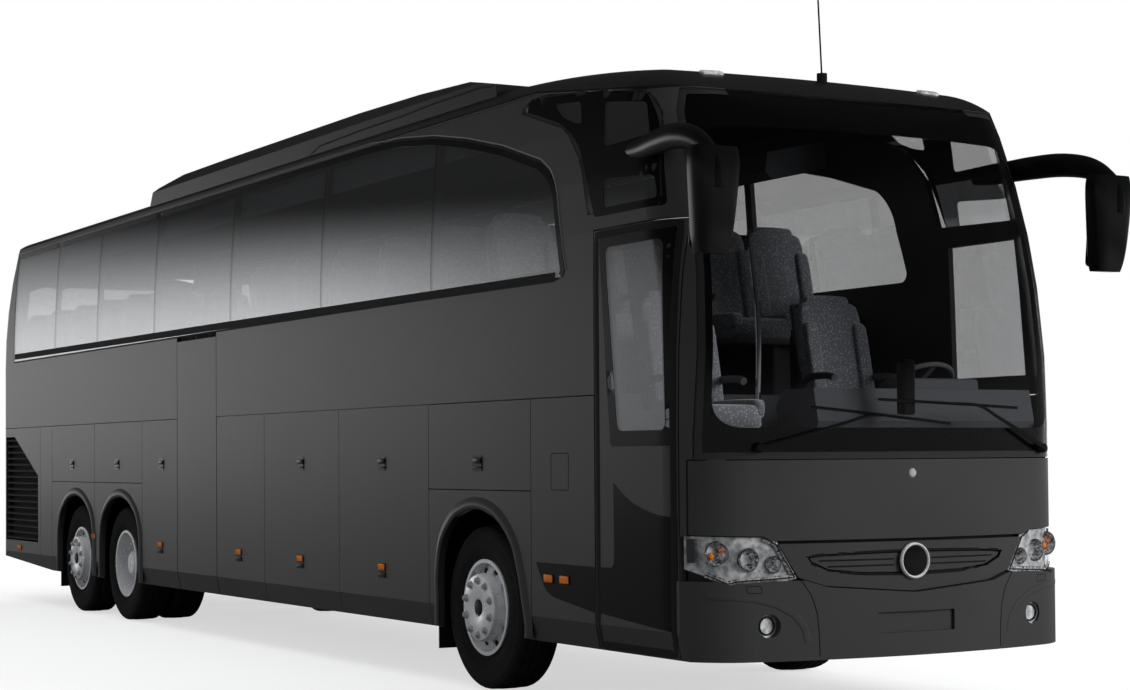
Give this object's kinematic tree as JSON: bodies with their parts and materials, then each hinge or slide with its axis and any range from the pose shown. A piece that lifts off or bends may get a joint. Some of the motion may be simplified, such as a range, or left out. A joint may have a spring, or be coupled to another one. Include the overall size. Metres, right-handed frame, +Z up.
{
  "type": "three-axle touring coach",
  "caption": "Three-axle high-deck touring coach in dark grey with tinted bonded windows, hanging mirrors, plug doors and top-hinged luggage flaps",
  "frame": {"origin": "on the ground, under the middle of the bounding box", "axes": "X forward, Y to the left, Z up"},
  "size_m": [14.1435, 2.98, 4.0553],
  "materials": {
    "body_paint": "satin dark grey two-pack paint",
    "roof_paint": "darker grey satin paint",
    "tinted_glass": "dark tinted bonded glass with black printed borders",
    "clear_lens": "clear lamp cover",
    "lamp_reflector": "bright metallised reflector",
    "red_lens": "red moulded lens",
    "amber_lens": "amber moulded lens",
    "grille_plastic": "black and bright moulded grille",
    "mirror_housing": "black moulded mirror housing",
    "tyre_rubber": "black tyre rubber",
    "rim_aluminium": "polished forged aluminium",
    "hub_iron": "black painted casting",
    "frame_paint": "black chassis paint",
    "engine_iron": "grey painted casting",
    "underbody_plastic": "black underbody lining",
    "flap_rubber": "black rubber",
    "wiper_steel": "matt black painted steel",
    "dash_plastic": "grained dark grey moulding",
    "trim_plastic": "light grey lined moulding",
    "floor_covering": "dark grey floor covering",
    "bay_sheet": "grey painted sheet",
    "seat_fabric": "grey patterned moquette"
  },
  "bodies": {
    "body": {"underframe": "frame_paint", "cabin_floor": "floor_covering", "luggage_bay": "bay_sheet", "wheelhouses": "underbody_plastic", "mud_flaps": "flap_rubber", "roof_shell": "roof_paint", "side_wall_right": "body_paint", "side_wall_left": "body_paint", "side_panels_right": "body_paint", "side_panels_left": "body_paint", "screen_frame": "body_paint", "front_panel": "body_paint", "front_bumper": "body_paint", "grille": "grille_plastic", "headlamps": "lamp_reflector", "headlamp_lenses": "clear_lens", "windscreen": "tinted_glass", "windows": "tinted_glass", "rear_panel": "body_paint", "tail_lamps": "red_lens", "marker_lamps": "amber_lens", "roof_pod": "roof_paint", "mirrors": "mirror_housing", "wipers": "wiper_steel", "antenna": "flap_rubber", "dashboard": "dash_plastic", "crew_seats": "seat_fabric", "passenger_seats": "seat_fabric", "luggage_racks": "trim_plastic", "engine_block": "engine_iron", "front_axle": "frame_paint", "rear_axles": "frame_paint"},
    "knuckle_right": {"knuckle_right": "hub_iron"},
    "wheel_front_right": {"tyre_front_right": "tyre_rubber", "rim_front_right": "rim_aluminium"},
    "wheel_drive_right": {"tyre_drive_right": "tyre_rubber", "rim_drive_right": "rim_aluminium"},
    "wheel_tag_right": {"tyre_tag_right": "tyre_rubber", "rim_tag_right": "rim_aluminium"},
    "knuckle_left": {"knuckle_left": "hub_iron"},
    "wheel_front_left": {"tyre_front_left": "tyre_rubber", "rim_front_left": "rim_aluminium"},
    "wheel_drive_left": {"tyre_drive_left": "tyre_rubber", "rim_drive_left": "rim_aluminium"},
    "wheel_tag_left": {"tyre_tag_left": "tyre_rubber", "rim_tag_left": "rim_aluminium"},
    "luggage_flap_right_rear": {"luggage_flap_right_rear": "body_paint"},
    "luggage_flap_right_middle": {"luggage_flap_right_middle": "body_paint"},
    "luggage_flap_right_front": {"luggage_flap_right_front": "body_paint"},
    "luggage_flap_left_rear": {"luggage_flap_left_rear": "body_paint"},
    "luggage_flap_left_middle": {"luggage_flap_left_middle": "body_paint"},
    "luggage_flap_left_front": {"luggage_flap_left_front": "body_paint"},
    "engine_hatch": {"engine_hatch": "body_paint"},
    "front_door_arm": {"front_door_arm": "frame_paint"},
    "front_door": {"front_door": "body_paint", "front_door_glass": "tinted_glass"},
    "mid_door_arm": {"mid_door_arm": "frame_paint"},
    "mid_door": {"mid_door": "body_paint"}
  },
  "joints": [
    {"name": "steer_right", "type": "hinge", "parent": "body", "child": "knuckle_right", "pos_m": [4.1675, -0.9, 0.508], "axis": [0, 0, 1], "range_deg": [-38, 38]},
    {"name": "roll_front_right", "type": "hinge", "parent": "knuckle_right", "child": "wheel_front_right", "pos_m": [4.1675, -1.088, 0.508], "axis": [0, 1, 0], "continuous": true},
    {"name": "roll_drive_right", "type": "hinge", "parent": "body", "child": "wheel_drive_right", "pos_m": [-2.9225, -1.088, 0.508], "axis": [0, 1, 0], "continuous": true},
    {"name": "roll_tag_right", "type": "hinge", "parent": "body", "child": "wheel_tag_right", "pos_m": [-4.2725, -1.088, 0.508], "axis": [0, 1, 0], "continuous": true},
    {"name": "steer_left", "type": "hinge", "parent": "body", "child": "knuckle_left", "pos_m": [4.1675, 0.9, 0.508], "axis": [0, 0, 1], "range_deg": [-38, 38]},
    {"name": "roll_front_left", "type": "hinge", "parent": "knuckle_left", "child": "wheel_front_left", "pos_m": [4.1675, 1.088, 0.508], "axis": [0, 1, 0], "continuous": true},
    {"name": "roll_drive_left", "type": "hinge", "parent": "body", "child": "wheel_drive_left", "pos_m": [-2.9225, 1.088, 0.508], "axis": [0, 1, 0], "continuous": true},
    {"name": "roll_tag_left", "type": "hinge", "parent": "body", "child": "wheel_tag_left", "pos_m": [-4.2725, 1.088, 0.508], "axis": [0, 1, 0], "continuous": true},
    {"name": "lift_right_rear", "type": "hinge", "parent": "body", "child": "luggage_flap_right_rear", "pos_m": [0.089, -1.275, 1.777], "axis": [-1, 0, 0], "range_deg": [0, 85]},
    {"name": "lift_right_middle", "type": "hinge", "parent": "body", "child": "luggage_flap_right_middle", "pos_m": [1.319, -1.275, 1.777], "axis": [-1, 0, 0], "range_deg": [0, 85]},
    {"name": "lift_right_front", "type": "hinge", "parent": "body", "child": "luggage_flap_right_front", "pos_m": [2.758, -1.275, 1.777], "axis": [-1, 0, 0], "range_deg": [0, 85]},
    {"name": "lift_left_rear", "type": "hinge", "parent": "body", "child": "luggage_flap_left_rear", "pos_m": [-0.106, 1.275, 1.777], "axis": [1, 0, 0], "range_deg": [0, 85]},
    {"name": "lift_left_middle", "type": "hinge", "parent": "body", "child": "luggage_flap_left_middle", "pos_m": [1.319, 1.275, 1.777], "axis": [1, 0, 0], "range_deg": [0, 85]},
    {"name": "lift_left_front", "type": "hinge", "parent": "body", "child": "luggage_flap_left_front", "pos_m": [2.758, 1.275, 1.777], "axis": [1, 0, 0], "range_deg": [0, 85]},
    {"name": "lift_engine_hatch", "type": "hinge", "parent": "body", "child": "engine_hatch", "pos_m": [-7.0725, 0, 1.96], "axis": [0, 1, 0], "range_deg": [0, 80]},
    {"name": "swing_front_door", "type": "hinge", "parent": "body", "child": "front_door_arm", "pos_m": [6.3675, -1.195, 1], "axis": [0, 0, 1], "range_deg": [0, 135]},
    {"name": "turn_front_door", "type": "hinge", "parent": "front_door_arm", "child": "front_door", "pos_m": [5.8675, -1.195, 1], "axis": [0, 0, 1], "range_deg": [-135, 0]},
    {"name": "swing_mid_door", "type": "hinge", "parent": "body", "child": "mid_door_arm", "pos_m": [-1.2655, -1.195, 1.4], "axis": [0, 0, -1], "range_deg": [0, 135]},
    {"name": "turn_mid_door", "type": "hinge", "parent": "mid_door_arm", "child": "mid_door", "pos_m": [-0.7655, -1.195, 1.4], "axis": [0, 0, -1], "range_deg": [-135, 0]}
  ],
  "couplings": [
    {"joint": "steer_right", "follows": "steer_left", "ratio": 1},
    {"joint": "turn_front_door", "follows": "swing_front_door", "ratio": -1},
    {"joint": "turn_mid_door", "follows": "swing_mid_door", "ratio": -1}
  ]
}
